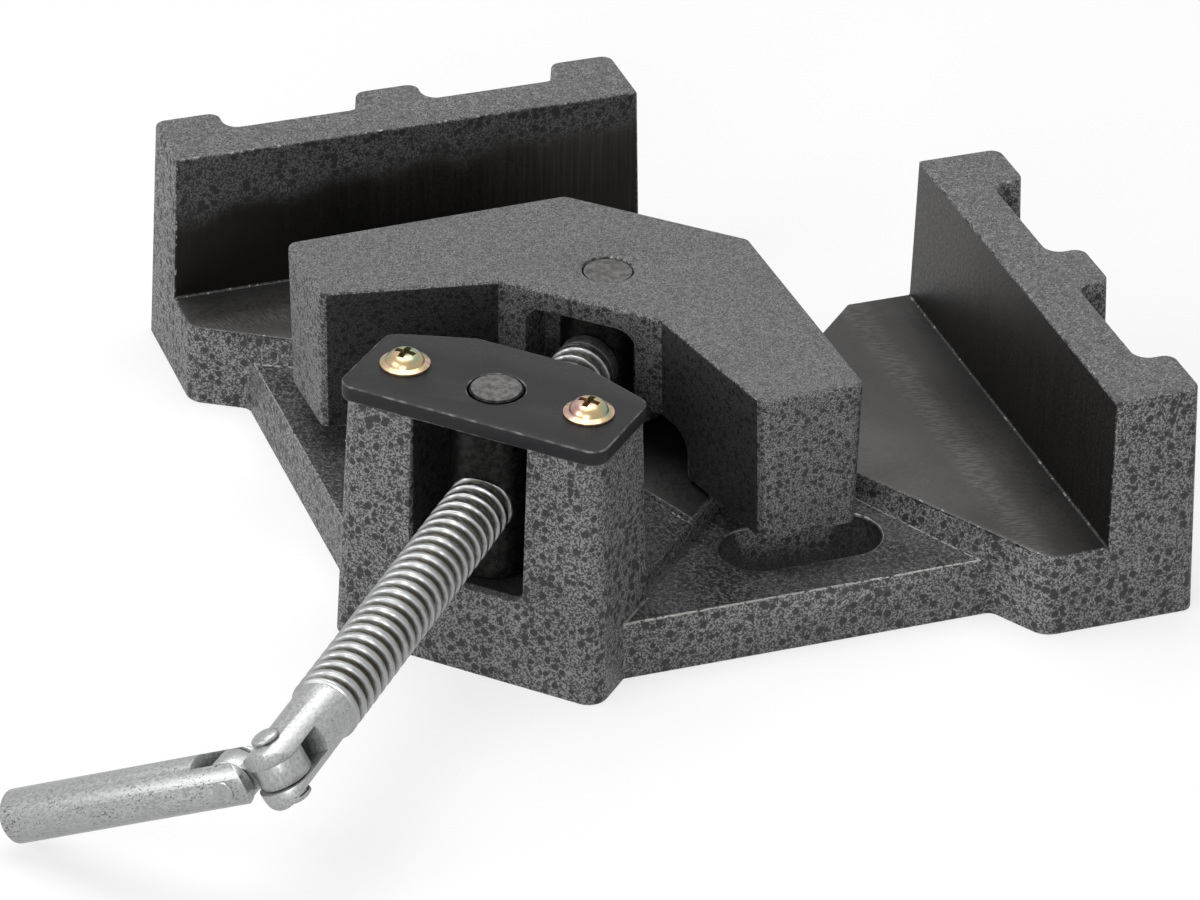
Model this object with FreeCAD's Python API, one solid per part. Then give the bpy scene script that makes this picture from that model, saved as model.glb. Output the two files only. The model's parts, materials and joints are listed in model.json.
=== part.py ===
import FreeCAD, Part
import math
import os

from FreeCAD import Vector

# Corner clamp for two workpieces at a right angle, in millimetres.
# The origin is on the underside, on the symmetry plane, below the resting jaw.
# +Y points from the handle to the open corner and +Z points up.
# Plan distances (a, b) run along the left and the right jaw wall from the corner
# where the two clamp faces would meet.

# Base casting. A drafted side has its stated place at the height of the walls' top.
corner_y = 120.0
face_start = 56.0
face_end = 180.0
wall_height = 62.0
wall_thickness = 13.0
rib_depth = 9.0
rib_width = 17.0
table_height = 22.0
ramp_foot_start = 74.0
ramp_foot_end = 28.0
ramp_top_end = 172.0
floor_height = 15.5
rim_distance = 166.5
end_block_width = 14.4
notch_width = 56.0
notch_depth = 84.0
notch_corner = 9.0
tongue_width = 65.2
tongue_corner_y = 3.8
tongue_step = 1.5
tongue_step_y = -36.3
tongue_step_flat = 38.8
tongue_step_slant = 22.5
casting_draft = 2.0
corner_radius = 3.0
pocket_radius = 4.0
top_edge_radius = 1.2
underside_recess_depth = 8.0
underside_web = 10.0

# Mounting slots
mount_slot_width = 18.0
mount_slot_length = 40.0
mount_slot_along = 65.5
mount_slot_rim_web = 10.5

# Tower that houses the nut
tower_front_y = -94.8
tower_width = 67.0
tower_depth = 32.2
tower_height = 65.5
tower_back_flat = 29.0
tower_back_slant = 21.0
tower_corner_radius = 5.0
tower_slot_width = 30.0
tower_slot_floor = 23.0

# Cover plate and its screws
cover_thickness = 4.0
cover_overhang = 0.9
cover_corner_radius = 4.0
screw_size = 6.0
screw_spacing = 48.0
screw_length = 16.0
screw_flange_diameter = 12.0
screw_flange_thickness = 1.2
screw_head_diameter = 9.4
screw_head_height = 3.4
screw_recess_depth = 2.2
screw_recess_width = 5.2
screw_recess_arm = 1.5
screw_end_chamfer = 0.8
screw_hole_play = 0.3

# Screw axis and trapezoidal thread size
nut_y = -80.5
screw_height = 42.8
screw_diameter = 16.0
screw_pitch = 4.0

# Trunnion nut
nut_diameter = 22.0
trunnion_diameter = 12.7
trunnion_depth = 8.0
trunnion_cover_gap = 0.55
trunnion_proud = 0.4
nut_chamfer = 0.6
trunnion_chamfer = 0.4

# Resting pose
jaw_reach = 73.0
swing_rest = 4.6
jaw_angle_rest = 1.6
spindle_turn_rest = 30.0
link_bend_rest = -93.5
handle_bend_rest = 3.0

# Moving jaw, about its pivot
jaw_half_span = 77.0
jaw_face_back = 22.5
jaw_tip_width = 50.0
jaw_height = 39.6
jaw_end_width = 19.0
jaw_back_distance = 16.5
jaw_back_flat = 42.0
jaw_inner_draft = 3.0
jaw_end_draft = 1.5
jaw_edge_radius = 2.5
jaw_lift = 1.4
jaw_face_wall = 12.0
jaw_recess_height = 12.0
jaw_recess_radius = 5.0
jaw_window_width = 29.0
jaw_window_top = 14.2
jaw_window_radius = 5.0
jaw_hub_diameter = 34.0
jaw_hub_drop = 8.0

# Thrust block that carries the screw end in the jaw
block_diameter = 22.0
block_trunnion_diameter = 12.7
block_trunnion_sink = 0.5
block_top_wall = 8.0
block_length = 25.0
block_chamfer = 0.8
journal_diameter = 12.0
journal_end_wall = 2.5
pin_diameter = 3.0
pin_bite = 1.2
pin_chamfer = 0.3
pin_end_gap = 0.2
circlip_thickness = 1.2
circlip_depth = 1.1
circlip_width = 2.6
circlip_gap = 9.0
circlip_lug_radius = 2.0
circlip_lug_hole = 0.7

# Screw between the jaw and the knuckle
collar_length = 4.0
collar_diameter = 15.4
collar_chamfer = 0.6
journal_chamfer = 0.8
thread_end_chamfer = 1.0
thrust_gap = 0.3
thread_length_outside = 101.8
neck_diameter = 14.4
neck_chamfer = 1.2
fork_pin_distance = 124.3
fork_slot_width = 6.4
fork_slot_depth = 9.0
ear_radius = 7.0

# Knuckle link and handle
link_pin_spacing = 13.0
link_thickness = 6.0
link_fork_lobe = 6.0
link_handle_lobe = 5.7
handle_diameter = 12.6
handle_length = 64.4
handle_ear_radius = 6.2
handle_slot_depth = 8.2
handle_end_chamfer = 1.2
rivet_diameter = 5.0
rivet_head_diameter = 6.6
rivet_head_height = 1.5
handle_rivet_proud = 0.3

# Clearances
running_gap = 0.06
screw_hole_gap = 0.05
axial_gap = 0.4

# Sizes that follow
diagonal = math.sqrt(0.5)
rib_total = wall_thickness + rib_depth
mount_slot_across = rim_distance - mount_slot_rim_web - mount_slot_width / 2
jaw_bottom = table_height + jaw_lift
jaw_top = jaw_bottom + jaw_height
cover_bottom = tower_height
cover_top = cover_bottom + cover_thickness
tower_back_y = tower_front_y + tower_depth
nut_point = Vector(0, nut_y, screw_height)
pivot_y = nut_y + jaw_reach
up = Vector(0, 0, 1)
along_y = Vector(0, 1, 0)
along_x = Vector(1, 0, 0)


# Plan helpers
def plan(a, b):
    return ((b - a) * diagonal, corner_y - (a + b) * diagonal)


def signed_area(points):
    total = 0.0
    for (x0, y0), (x1, y1) in zip(points, points[1:] + points[:1]):
        total += x0 * y1 - x1 * y0
    return total / 2


def grown(points, distances):
    # Each edge moves outwards by its own distance and the corners follow.
    turn = 1.0 if signed_area(points) > 0 else -1.0
    lines = []
    for (x0, y0), (x1, y1), out in zip(points, points[1:] + points[:1], distances):
        length = math.hypot(x1 - x0, y1 - y0)
        direction = ((x1 - x0) / length, (y1 - y0) / length)
        normal = (turn * direction[1], -turn * direction[0])
        lines.append(((x0 + normal[0] * out, y0 + normal[1] * out), direction))
    corners = []
    for (p, d), (q, e) in zip(lines[-1:] + lines[:-1], lines):
        cross = d[0] * e[1] - d[1] * e[0]
        step = ((q[0] - p[0]) * e[1] - (q[1] - p[1]) * e[0]) / cross
        corners.append((p[0] + d[0] * step, p[1] + d[1] * step))
    return corners


def ring(points, z):
    return [Vector(x, y, z) for x, y in points]


def flat_face(corners):
    return Part.Face(Part.makePolygon(corners + corners[:1]))


def edge_between(solid, p, q):
    for edge in solid.Edges:
        ends = [vertex.Point for vertex in edge.Vertexes]
        if len(ends) != 2:
            continue
        if (ends[0] - p).Length < 0.01 and (ends[1] - q).Length < 0.01:
            return edge
        if (ends[1] - p).Length < 0.01 and (ends[0] - q).Length < 0.01:
            return edge
    raise ValueError("no such edge")


def drafted_prism(points, z_low, z_high, z_exact, drafts, radii=None):
    # The outline is exact at z_exact and each side leans by its own draft angle.
    if not isinstance(drafts, list):
        drafts = [drafts] * len(points)
    slopes = [math.tan(math.radians(angle)) for angle in drafts]
    low = ring(grown(points, [slope * (z_exact - z_low) for slope in slopes]), z_low)
    high = ring(grown(points, [slope * (z_exact - z_high) for slope in slopes]), z_high)
    faces = [flat_face(low), flat_face(high)]
    count = len(points)
    for i in range(count):
        j = (i + 1) % count
        faces.append(flat_face([low[i], low[j], high[j], high[i]]))
    solid = Part.Solid(Part.Shell(faces))
    if solid.Volume < 0:
        solid.reverse()
    for radius in sorted(set(radii or [])):
        if radius > 0:
            picked = [edge_between(solid, low[i], high[i]) for i in range(count) if radii[i] == radius]
            solid = solid.makeFillet(radius, picked)
    return solid


def edges_at_height(shape, z):
    found = []
    for edge in shape.Edges:
        box = edge.BoundBox
        if abs(box.ZMin - z) < 0.001 and abs(box.ZMax - z) < 0.001:
            found.append(edge)
    return found


def mirrored(shape):
    return shape.mirror(Vector(0, 0, 0), along_x)


def both_sides(shape):
    return [shape, mirrored(shape)]


def full_outline(half):
    # The right half from the corner side to the handle side, then its mirror image.
    left = [(-x, y) for x, y in reversed(half)]
    return half + left


def full_values(half):
    return half + list(reversed(half))


def cylinder(radius, z_low, z_high, x=0.0, y=0.0):
    return Part.makeCylinder(radius, z_high - z_low, Vector(x, y, z_low), up)


def revolved(profile):
    # The profile holds (radius, height) pairs and turns about the Z axis.
    corners = [Vector(r, 0, z) for r, z in profile]
    return flat_face(corners).revolve(Vector(0, 0, 0), up, 360)


# Base casting
def notch_side():
    notch_half = notch_width / 2
    return [(notch_half, corner_y - notch_depth), plan(face_start - notch_half / diagonal, face_start)]


def ramp_line(across):
    # A point of the line from the tongue's corner to the end block's corner, at a distance from the open corner.
    end = plan(end_block_width, face_end)
    start = (tongue_width / 2, tongue_corner_y)
    start_across = (corner_y - start[1] + start[0]) * diagonal
    share = (across - start_across) / (face_end - start_across)
    return (start[0] + share * (end[0] - start[0]), start[1] + share * (end[1] - start[1]))


def base_plate():
    half = notch_side() + [
        plan(-rib_total, face_start),
        plan(-rib_total, face_end),
        plan(end_block_width, face_end),
        ramp_line(rim_distance),
        (tower_width / 2, corner_y - rim_distance / diagonal + tower_width / 2),
    ]
    radii = full_values([notch_corner, 0, corner_radius, corner_radius, 2 * corner_radius, corner_radius, 0])
    return drafted_prism(full_outline(half), 0, floor_height, wall_height, casting_draft, radii)


def table():
    inside_wall = -wall_thickness / 2
    half = notch_side() + [
        plan(inside_wall, face_start),
        plan(inside_wall, face_end),
        plan(end_block_width, face_end),
        (tongue_width / 2, tongue_corner_y),
        (tongue_width / 2, tower_front_y + tower_depth / 2),
    ]
    radii = full_values([notch_corner, 0, 0, 0, 2 * corner_radius, pocket_radius, 0])
    top = drafted_prism(full_outline(half), 0, table_height, wall_height, casting_draft, radii)
    return top.cut(tongue_lowering()).fuse(both_sides(table_ramp()))


def tongue_lowering():
    # The tongue is machined down to a slanted step and stays as cast, a little lower, towards the tower.
    flat = tongue_step_flat / 2
    wide = tongue_width / 2 + 2 * pocket_radius
    slant_y = tongue_step_y - (wide - flat) * math.tan(math.radians(tongue_step_slant))
    outline = full_outline([(flat, tongue_step_y), (wide, slant_y), (wide, tower_front_y)])
    return drafted_prism(outline, table_height - tongue_step, table_height + 1, table_height, 0)


def table_ramp():
    # The table's side leans out more and more towards the end block.
    lean = math.tan(math.radians(casting_draft)) * (wall_height - table_height)
    high_end = ramp_line(ramp_top_end)
    high_start = ramp_line(rim_distance - ramp_foot_start)
    low_end = plan(ramp_foot_end, rim_distance + lean)
    inner_end = (high_end[0], high_end[1] + 2 * pocket_radius)
    inner_start = (high_start[0], high_start[1] + 2 * pocket_radius)
    low = ring([inner_start, high_start, low_end, inner_end], floor_height - 1)
    high = ring([inner_start, high_start, (high_end[0], high_end[1] - lean), inner_end], table_height)
    wires = [Part.makePolygon(corners + corners[:1]) for corners in (low, high)]
    return Part.makeLoft(wires, True, True)


def wall():
    outer = -rib_total
    thin = -wall_thickness
    gap = (face_end - face_start - 3 * rib_width) / 2
    first = face_start + rib_width
    second = first + gap + rib_width
    comb = [(0, face_start), (0, face_end), (outer, face_end), (outer, face_end - rib_width),
            (thin, face_end - rib_width), (thin, second), (outer, second), (outer, second - rib_width),
            (thin, second - rib_width), (thin, first), (outer, first), (outer, face_start)]
    points = [plan(a, b) for a, b in comb]
    drafts = [0] + [casting_draft] * (len(comb) - 1)
    radii = [0, 0] + [corner_radius] * 2 + [pocket_radius] * 2 + [corner_radius] * 2 + [pocket_radius] * 2
    radii += [corner_radius] * 2
    return drafted_prism(points, 0, wall_height, wall_height, drafts, radii)


def tower_outline(grow):
    half_width = tower_width / 2 + grow
    flat = tower_back_flat / 2
    drop = (half_width - flat) * math.tan(math.radians(tower_back_slant))
    return [
        (flat, tower_back_y + grow),
        (half_width, tower_back_y + grow - drop),
        (half_width, tower_front_y - grow),
    ]


def tower():
    radii = full_values([0, tower_corner_radius / 2, tower_corner_radius])
    return drafted_prism(full_outline(tower_outline(0)), 0, tower_height, tower_height, casting_draft, radii)


def tower_slot():
    half = tower_slot_width / 2
    length = tower_depth + 30
    start = tower_front_y - 10
    cut = Part.makeBox(2 * half, length, tower_height - tower_slot_floor + 5,
                       Vector(-half, start, tower_slot_floor))
    lower = [edge for edge in edges_at_height(cut, tower_slot_floor) if edge.BoundBox.YLength > 1]
    return cut.makeFillet(corner_radius, lower)


def oblong(width, length, z_low, z_high, draft):
    # A slot cutter along X that widens upwards.
    lean = math.tan(math.radians(draft)) * (z_high - z_low)
    half = (length - width) / 2
    wires = []
    for z, radius in ((z_low, width / 2), (z_high, width / 2 + lean)):
        right = Part.Arc(Vector(half, -radius, z), Vector(half + radius, 0, z), Vector(half, radius, z))
        left = Part.Arc(Vector(-half, radius, z), Vector(-half - radius, 0, z), Vector(-half, -radius, z))
        far = Part.LineSegment(Vector(half, radius, z), Vector(-half, radius, z))
        near = Part.LineSegment(Vector(-half, -radius, z), Vector(half, -radius, z))
        wires.append(Part.Wire([curve.toShape() for curve in (right, far, left, near)]))
    return Part.makeLoft(wires, True, True)


def mounting_slot():
    cut = oblong(mount_slot_width, mount_slot_length, -1, floor_height + 1, casting_draft)
    cut.rotate(Vector(0, 0, 0), up, 45)
    cut.translate(Vector(*plan(mount_slot_along, mount_slot_across), 0))
    return cut


def underside_recess():
    # The hollow under the table keeps a web to the wall, the rim and the mounting slot.
    near = underside_web
    far = mount_slot_along - mount_slot_length / 2 - underside_web
    start = face_start + rib_width
    end = rim_distance - underside_web
    points = [plan(near, start), plan(near, end), plan(far, end), plan(far, start + 2 * (far - near))]
    radii = [pocket_radius] * len(points)
    return drafted_prism(points, -1, underside_recess_depth, 0, casting_draft, radii)


def base_casting():
    body = base_plate().fuse([table(), tower()] + both_sides(wall()))
    body = body.cut([tower_slot()] + both_sides(mounting_slot()) + both_sides(underside_recess()))
    trunnion = trunnion_diameter / 2 + running_gap
    floor_hole = cylinder(trunnion, tower_slot_floor - trunnion_depth - axial_gap, tower_slot_floor + 1, y=nut_y)
    screw_hole = screw_size / 2 + screw_hole_gap
    screw_bottom = tower_height - screw_length
    tapped = [cylinder(screw_hole, screw_bottom, tower_height + 1, x=side * screw_spacing / 2, y=nut_y)
              for side in (-1, 1)]
    return body.cut([floor_hole] + tapped).removeSplitter()


# Cover plate and screws
def nut_cover_plate():
    radii = full_values([0, cover_corner_radius, cover_corner_radius])
    plate = drafted_prism(full_outline(tower_outline(cover_overhang)), cover_bottom, cover_top, cover_bottom,
                          0, radii)
    nut_hole = cylinder(trunnion_diameter / 2 + trunnion_cover_gap, cover_bottom - 1, cover_top + 1, y=nut_y)
    screw_holes = [cylinder(screw_size / 2 + screw_hole_play, cover_bottom - 1, cover_top + 1, x=side * screw_spacing / 2,
                            y=nut_y) for side in (-1, 1)]
    return plate.cut([nut_hole] + screw_holes)


def cover_screw(side):
    # A pan head with its flange, a cross recess and a plain shank of the thread's outer size.
    shank = screw_size / 2
    flange = screw_flange_diameter / 2
    head = screw_head_diameter / 2
    flange_top = screw_flange_thickness
    end = axial_gap - cover_thickness - screw_length
    dome = Part.Arc(Vector(head, 0, flange_top), Vector(head * 0.78, 0, screw_head_height * 0.82),
                    Vector(0, 0, screw_head_height)).toShape()
    lines = Part.makePolygon([Vector(0, 0, screw_head_height), Vector(0, 0, end),
                              Vector(shank - screw_end_chamfer, 0, end),
                              Vector(shank, 0, end + screw_end_chamfer), Vector(shank, 0, 0),
                              Vector(flange, 0, 0), Vector(flange, 0, flange_top * 0.6),
                              Vector(head, 0, flange_top)])
    screw = Part.Face(Part.Wire(lines.Edges + [dome])).revolve(Vector(0, 0, 0), up, 360)
    arm = screw_recess_arm
    width = screw_recess_width
    bottom = screw_head_height - screw_recess_depth
    for turn in (0, 90):
        slot = Part.makeBox(width, arm, screw_recess_depth + 1, Vector(-width / 2, -arm / 2, bottom))
        slot.rotate(Vector(0, 0, 0), up, turn)
        screw = screw.cut(slot)
    screw.translate(Vector(side * screw_spacing / 2, nut_y, cover_top))
    return screw


# Trunnion nut in the tower
def trunnion_nut():
    small = trunnion_diameter / 2
    large = nut_diameter / 2
    low = tower_slot_floor + axial_gap
    high = cover_bottom - axial_gap
    top = cover_top + trunnion_proud
    foot = low - trunnion_depth
    cut = nut_chamfer
    tip = trunnion_chamfer
    profile = [(0, foot), (small - cut, foot), (small, foot + cut), (small, low), (large - cut, low),
               (large, low + cut), (large, high - cut), (large - cut, high), (small, high), (small, top - tip),
               (small - tip, top), (0, top)]
    nut = revolved(profile)
    nut.translate(Vector(0, nut_y, 0))
    bore = Part.makeCylinder(screw_diameter / 2 + running_gap, 2 * nut_diameter,
                             nut_point - along_y * nut_diameter, along_y)
    return nut.cut(bore)


# Moving jaw, built about its pivot and then set in place
def jaw_outline():
    half_tip = jaw_tip_width / 2
    tip_y = jaw_half_span - half_tip - jaw_face_back
    return [
        (half_tip, tip_y),
        (jaw_half_span, -jaw_face_back),
        (jaw_half_span - jaw_end_width, -jaw_face_back - jaw_end_width),
        (jaw_back_flat / 2, -jaw_back_distance),
    ]


def jaw_recess():
    reach = jaw_half_span
    half = tongue_width / 2 - 1
    face_sum = jaw_half_span - jaw_face_back - jaw_face_wall / diagonal
    inner_y = jaw_half_span - jaw_tip_width / 2 - jaw_face_back - jaw_face_wall
    points = [(half, -reach), (half, face_sum - half), (face_sum - inner_y, inner_y)]
    roof = jaw_bottom + jaw_recess_height
    cut = drafted_prism(full_outline(points), jaw_bottom - 1, roof, jaw_bottom, casting_draft)
    # Made anew from its shell, whose faces then all point outwards, as the fillet needs.
    cut = Part.Solid(cut.Shells[0])
    rounded = []
    for edge in cut.Edges:
        box = edge.BoundBox
        behind = edge.CenterOfMass.y < 1 - reach or box.YMin < 1 - reach and box.ZMax < roof - 1
        if not behind and box.ZMax > jaw_bottom:
            rounded.append(edge)
    return cut.makeFillet(jaw_recess_radius, rounded)


def jaw_window():
    # The opening in the back wall that the screw passes, and its way to the thrust block.
    half = jaw_window_width / 2
    low = screw_height - screw_diameter / 2 - 2
    high = screw_height + jaw_window_top
    depth = jaw_back_distance + 20
    cut = Part.makeBox(2 * half, depth, high - low, Vector(-half, -depth - block_diameter / 4, low))
    upper = [edge for edge in edges_at_height(cut, high) if edge.BoundBox.YLength > 1]
    return cut.makeFillet(jaw_window_radius, upper)


def moving_jaw():
    half = jaw_outline()
    drafts = [0, -jaw_end_draft, -jaw_inner_draft]
    outline = full_outline(half)
    all_drafts = drafts + [-jaw_inner_draft] + list(reversed(drafts)) + [0]
    radii = full_values([jaw_edge_radius, jaw_edge_radius, jaw_edge_radius, jaw_window_radius])
    jaw = drafted_prism(outline, jaw_bottom, jaw_top, jaw_top, all_drafts, radii)
    jaw = jaw.makeFillet(top_edge_radius, edges_at_height(jaw, jaw_top))
    hub_bottom = jaw_bottom + jaw_recess_height - jaw_hub_drop
    hub = cylinder(jaw_hub_diameter / 2, hub_bottom, jaw_bottom + jaw_recess_height + 1)
    jaw = jaw.cut(jaw_recess()).fuse(hub).cut(jaw_window())
    bore = block_diameter / 2 + running_gap
    block_top = jaw_top - block_top_wall + axial_gap
    holes = [cylinder(bore, hub_bottom - 1, block_top),
             cylinder(block_trunnion_diameter / 2 + running_gap, block_top - 1, jaw_top + 1)]
    low = circlip_bottom()
    holes.append(cylinder(bore + circlip_depth, low, low + circlip_thickness))
    return place_jaw(jaw.cut(holes).removeSplitter())


def circlip_bottom():
    return jaw_top - block_top_wall - block_length - circlip_thickness - running_gap


def block_circlip():
    # An inward ring with a gap at the handle side, sprung into the groove of the hub.
    outer = block_diameter / 2 + running_gap + circlip_depth
    inner = outer - circlip_width
    low = circlip_bottom()
    band = cylinder(outer, low, low + circlip_thickness).cut(
        cylinder(inner, low - 1, low + circlip_thickness + 1))
    gap = Part.makeBox(circlip_gap, outer + 1, circlip_thickness + 2,
                       Vector(-circlip_gap / 2, -outer - 1, low - 1))
    lugs = []
    for side in (-1, 1):
        x = side * (circlip_gap / 2 + 1.2)
        y = -math.sqrt((inner - 0.6) ** 2 - x * x)
        lug = cylinder(circlip_lug_radius, low, low + circlip_thickness, x=x, y=y)
        lugs.append(lug.cut(cylinder(circlip_lug_hole, low - 1, low + circlip_thickness + 1, x=x, y=y)))
    return place_jaw(band.cut(gap).fuse(lugs).removeSplitter())


def place_jaw(shape):
    shape.rotate(Vector(0, 0, 0), up, jaw_angle_rest - swing_rest)
    shape.translate(Vector(0, pivot_y, 0))
    return swung(shape)


def swung(shape):
    shape.rotate(nut_point, up, swing_rest)
    return shape


# Thrust block and the two pins that hold the screw in it
def thrust_block():
    large = block_diameter / 2
    small = block_trunnion_diameter / 2
    high = jaw_top - block_top_wall
    low = high - block_length
    top = jaw_top - block_trunnion_sink
    cut = block_chamfer
    tip = trunnion_chamfer
    block = revolved([(0, low), (large - cut, low), (large, low + cut), (large, high - cut), (large - cut, high),
                      (small, high), (small, top - tip), (small - tip, top), (0, top)])
    depth = block_diameter - journal_end_wall
    bore = Part.makeCylinder(journal_diameter / 2 + running_gap, depth + 1,
                             Vector(0, -large - 1, screw_height), along_y)
    block = block.cut([bore] + [pin_solid(side, low - 1, high + 1) for side in (-1, 1)])
    block.translate(Vector(0, pivot_y, 0))
    return swung(block)


def pin_offset():
    return journal_diameter / 2 + pin_diameter / 2 - pin_bite


def pin_solid(side, low, high):
    return cylinder(pin_diameter / 2, low, high, x=side * pin_offset())


def retaining_pin(side):
    high = jaw_top - block_top_wall - pin_end_gap
    low = jaw_top - block_top_wall - block_length + pin_end_gap
    pin = pin_solid(side, low, high)
    pin = pin.makeChamfer(pin_chamfer, edges_at_height(pin, low) + edges_at_height(pin, high))
    pin.translate(Vector(0, pivot_y, 0))
    return swung(pin)


# Screw, built along Z from the thrust block towards the handle and then laid along its axis
def spindle():
    thread = screw_diameter / 2
    journal = journal_diameter / 2
    collar = collar_diameter / 2
    neck = neck_diameter / 2
    groove = journal - pin_bite - running_gap
    groove_half = pin_diameter / 2 + pin_end_gap
    start = journal_end_wall - block_diameter / 2 + thrust_gap
    seat = block_diameter / 2 + thrust_gap
    thread_start = seat + collar_length
    thread_end = jaw_reach + thread_length_outside
    pin = jaw_reach + fork_pin_distance
    end = pin + ear_radius
    tip = journal_chamfer
    cut = collar_chamfer
    bevel = thread_end_chamfer
    profile = [(0, start), (journal - tip, start), (journal, start + tip), (journal, -groove_half),
               (groove, -groove_half), (groove, groove_half), (journal, groove_half), (journal, seat),
               (collar - cut, seat), (collar, seat + cut), (collar, thread_start), (thread - bevel, thread_start),
               (thread, thread_start + bevel), (thread, thread_end - bevel), (neck, thread_end + neck_chamfer),
               (neck, end), (0, end)]
    screw = revolved(profile)
    cutter = Part.makeBox(4 * neck, fork_slot_width, fork_slot_depth + ear_radius + 1,
                          Vector(-2 * neck, -fork_slot_width / 2, pin - fork_slot_depth))
    screw = screw.cut(cutter).cut(ear_trim(pin, ear_radius, neck))
    hole = Part.makeCylinder(rivet_diameter / 2, 4 * neck, Vector(0, -2 * neck, pin), along_y)
    return lay_on_screw(screw.cut(hole))


def ear_trim(pin, radius, neck):
    # What is left of a block past the pin when the rounded ear is taken out of it.
    size = 4 * neck
    block = Part.makeBox(size, size, radius + 2, Vector(-size / 2, -size / 2, pin))
    return block.cut(Part.makeCylinder(radius, size, Vector(0, -size / 2, pin), along_y))


def lay_on_screw(shape):
    # Local Z turns to -Y, local Y is the fork pin's direction and turns to the tilt at rest.
    shape.rotate(Vector(0, 0, 0), along_x, 90)
    shape.translate(Vector(0, pivot_y, screw_height))
    shape.rotate(nut_point, along_y, -spindle_turn_rest)
    return swung(shape)


def rivet(half_grip, proud):
    # A pin with a domed head at both ends, or nearly flush ends where proud is small.
    radius = rivet_diameter / 2
    head = rivet_head_diameter / 2 if proud >= rivet_head_height else radius
    flat = head / 5
    shoulder = half_grip + proud * 0.45
    top = half_grip + proud
    outline = [(flat, top), (0, top), (0, -top), (flat, -top)]
    grip = [(head, -half_grip), (radius, -half_grip), (radius, half_grip), (head, half_grip)]
    if head == radius:
        grip = []
    side = [(head, -shoulder)] + grip + [(head, shoulder)]
    lines = Part.makePolygon([Vector(x, 0, z) for x, z in outline]).Edges
    lines += Part.makePolygon([Vector(x, 0, z) for x, z in side]).Edges
    bulge = half_grip + proud * 0.86
    upper = Part.Arc(Vector(head, 0, shoulder), Vector(head * 0.72, 0, bulge), Vector(flat, 0, top))
    lower = Part.Arc(Vector(head, 0, -shoulder), Vector(head * 0.72, 0, -bulge), Vector(flat, 0, -top))
    ordered = Part.__sortEdges__(lines + [upper.toShape(), lower.toShape()])
    return Part.Face(Part.Wire(ordered)).revolve(Vector(0, 0, 0), up, 360)


def fork_rivet():
    pin = rivet(neck_diameter / 2, rivet_head_height)
    pin.rotate(Vector(0, 0, 0), along_x, -90)
    pin.translate(Vector(0, 0, jaw_reach + fork_pin_distance))
    return lay_on_screw(pin)


# Link between the two pins, built straight and then bent about the fork pin
def link_lobe(radius, distance, axis):
    half = link_thickness / 2
    return Part.makeCylinder(radius, link_thickness, Vector(0, 0, distance) - axis * half, axis)


def knuckle_block():
    far = link_pin_spacing
    half = link_thickness / 2
    bridge = Part.makeBox(link_thickness, link_thickness, far, Vector(-half, -half, 0))
    block = link_lobe(link_fork_lobe, 0, along_y).fuse([bridge, link_lobe(link_handle_lobe, far, along_x)])
    reach = 2 * link_fork_lobe
    hole = rivet_diameter / 2 + running_gap
    holes = [Part.makeCylinder(hole, 2 * reach, Vector(0, -reach, 0), along_y),
             Part.makeCylinder(hole, 2 * reach, Vector(-reach, 0, far), along_x)]
    return bend_link(block.cut(holes).removeSplitter())


def bend_link(shape):
    # Rotation about the fork pin, whose local direction is Y at the pin's place on the screw.
    shape.rotate(Vector(0, 0, 0), along_y, link_bend_rest)
    shape.translate(Vector(0, 0, jaw_reach + fork_pin_distance))
    return lay_on_screw(shape)


# Handle, built along Z from its own pin
def handle_bar():
    radius = handle_diameter / 2
    ear = handle_ear_radius
    length = handle_length
    bar = revolved([(0, -ear), (radius, -ear), (radius, length - handle_end_chamfer),
                    (radius - handle_end_chamfer, length), (0, length)])
    size = 4 * radius
    slot = Part.makeBox(fork_slot_width, size, ear + handle_slot_depth + 1,
                        Vector(-fork_slot_width / 2, -size / 2, -ear - 1))
    block = Part.makeBox(size, size, ear + 2, Vector(-size / 2, -size / 2, -ear - 2))
    trim = block.cut(Part.makeCylinder(ear, size, Vector(-size / 2, 0, 0), along_x))
    hole = Part.makeCylinder(rivet_diameter / 2, size, Vector(-size / 2, 0, 0), along_x)
    return bend_handle(bar.cut([slot, trim, hole]))


def handle_rivet():
    pin = rivet(handle_diameter / 2, handle_rivet_proud)
    pin.rotate(Vector(0, 0, 0), along_y, 90)
    return bend_handle(pin)


def bend_handle(shape):
    shape.rotate(Vector(0, 0, 0), along_x, -handle_bend_rest)
    shape.translate(Vector(0, 0, link_pin_spacing))
    return bend_link(shape)


def build():
    return {
        "base_casting": base_casting(),
        "nut_cover_plate": nut_cover_plate(),
        "cover_screw_left": cover_screw(-1),
        "cover_screw_right": cover_screw(1),
        "trunnion_nut": swung(trunnion_nut()),
        "moving_jaw": moving_jaw(),
        "block_circlip": block_circlip(),
        "thrust_block": thrust_block(),
        "retaining_pin_left": retaining_pin(-1),
        "retaining_pin_right": retaining_pin(1),
        "spindle": spindle(),
        "fork_rivet": fork_rivet(),
        "knuckle_block": knuckle_block(),
        "handle_bar": handle_bar(),
        "handle_rivet": handle_rivet(),
    }


def main():
    os.makedirs("parts", exist_ok=True)
    for name, shape in build().items():
        shape.exportStep(os.path.join("parts", name + ".step"))
        box = shape.BoundBox
        print(name, "solids", len(shape.Solids), "valid", shape.isValid(), "volume", round(shape.Volume),
              "box", [round(v, 1) for v in (box.XMin, box.YMin, box.ZMin, box.XMax, box.YMax, box.ZMax)])


main()
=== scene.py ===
import json
import math

import bmesh
import bpy
from bpy.props import FloatProperty, IntProperty, PointerProperty, StringProperty
from mathutils import Matrix, Vector
from mathutils.bvhtree import BVHTree
from mathutils.kdtree import KDTree


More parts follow.
